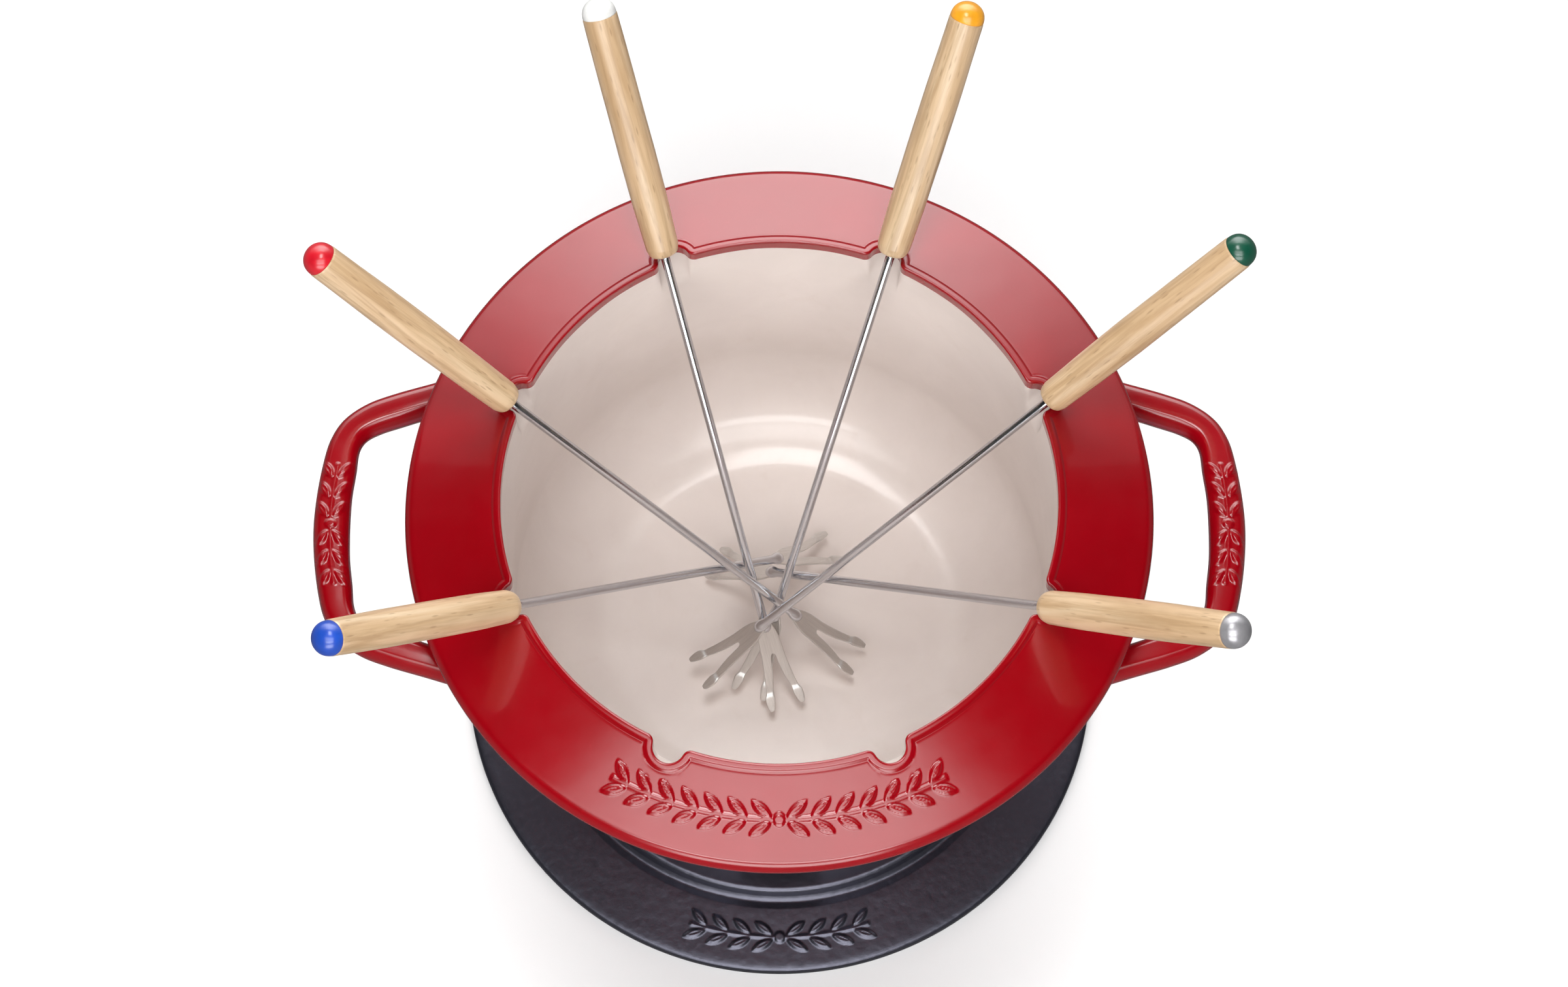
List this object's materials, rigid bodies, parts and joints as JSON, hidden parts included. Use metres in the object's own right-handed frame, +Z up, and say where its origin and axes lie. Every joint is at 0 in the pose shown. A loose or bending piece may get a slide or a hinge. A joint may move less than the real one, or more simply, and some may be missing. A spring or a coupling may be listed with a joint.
{
  "type": "fondue pot set",
  "caption": "Cherry-red enamelled fondue pot with a wide notched brim and two side handles, on a round black cast-iron stand with a paste burner, holding wooden-handled forks.",
  "frame": {"origin": "middle of the stand's flat underside, on the table", "axes": "+Z up, -Y the front of the set, +X to the right of someone facing the front, along the line through both side handles"},
  "size_m": [0.327, 0.2872, 0.2636],
  "materials": {
    "cast_iron_black": "matte black enamel over a fine cast texture",
    "burner_steel": "brushed stainless steel",
    "burning_paste": null,
    "knob_black": "heat-resistant phenolic",
    "red_enamel": "deep glossy cherry vitreous enamel",
    "cream_enamel": "glossy cream vitreous enamel inside the pot",
    "fork_steel": "drawn and stamped stainless steel",
    "beech": "sanded pale hardwood with a satin seal",
    "cap_grey": "satin silver-grey paint",
    "cap_blue": "glossy blue paint",
    "cap_orange": "glossy orange paint",
    "cap_white": "glossy white paint",
    "cap_red": "glossy red paint",
    "cap_green": "glossy dark green paint"
  },
  "bodies": {
    "stand": {"stand_plate": "cast_iron_black", "stand_drum": "cast_iron_black", "stand_seat": "cast_iron_black"},
    "burner": {"burner_cup": "burner_steel", "burner_paste": "burning_paste", "burner_cover": "burner_steel"},
    "regulator": {"burner_regulator": "burner_steel", "burner_lever": "burner_steel", "burner_knob": "knob_black"},
    "pot": {"pot_body": "red_enamel", "pot_handle_left": "red_enamel", "pot_handle_right": "red_enamel"},
    "grey_fork": {"grey_fork_head": "fork_steel", "grey_fork_shank": "fork_steel", "grey_fork_handle": "beech", "grey_fork_cap": "cap_grey"},
    "blue_fork": {"blue_fork_head": "fork_steel", "blue_fork_shank": "fork_steel", "blue_fork_handle": "beech", "blue_fork_cap": "cap_blue"},
    "orange_fork": {"orange_fork_head": "fork_steel", "orange_fork_shank": "fork_steel", "orange_fork_handle": "beech", "orange_fork_cap": "cap_orange"},
    "white_fork": {"white_fork_head": "fork_steel", "white_fork_shank": "fork_steel", "white_fork_handle": "beech", "white_fork_cap": "cap_white"},
    "red_fork": {"red_fork_head": "fork_steel", "red_fork_shank": "fork_steel", "red_fork_handle": "beech", "red_fork_cap": "cap_red"},
    "green_fork": {"green_fork_head": "fork_steel", "green_fork_shank": "fork_steel", "green_fork_handle": "beech", "green_fork_cap": "cap_green"}
  },
  "joints": [
    {"name": "burner_slide", "type": "slide", "parent": "stand", "child": "burner", "axis": [0, 1, 0], "range_m": [0, 0.13]},
    {"name": "regulator_turn", "type": "hinge", "parent": "burner", "child": "regulator", "pos_m": [0, 0, 0.0375], "axis": [0, 0, 1], "range_deg": [0, 30]},
    {"name": "pot_lift", "type": "slide", "parent": "stand", "child": "pot", "axis": [0, 0, 1], "range_m": [0, 0.12]},
    {"name": "grey_fork_lift", "type": "slide", "parent": "pot", "child": "grey_fork", "axis": [0, 0, 1], "range_m": [0, 0.14]},
    {"name": "blue_fork_lift", "type": "slide", "parent": "grey_fork", "child": "blue_fork", "axis": [0, 0, 1], "range_m": [0, 0.14]},
    {"name": "orange_fork_lift", "type": "slide", "parent": "blue_fork", "child": "orange_fork", "axis": [0, 0, 1], "range_m": [0, 0.14]},
    {"name": "white_fork_lift", "type": "slide", "parent": "orange_fork", "child": "white_fork", "axis": [0, 0, 1], "range_m": [0, 0.14]},
    {"name": "red_fork_lift", "type": "slide", "parent": "white_fork", "child": "red_fork", "axis": [0, 0, 1], "range_m": [0, 0.14]},
    {"name": "green_fork_lift", "type": "slide", "parent": "red_fork", "child": "green_fork", "axis": [0, 0, 1], "range_m": [0, 0.14]}
  ]
}
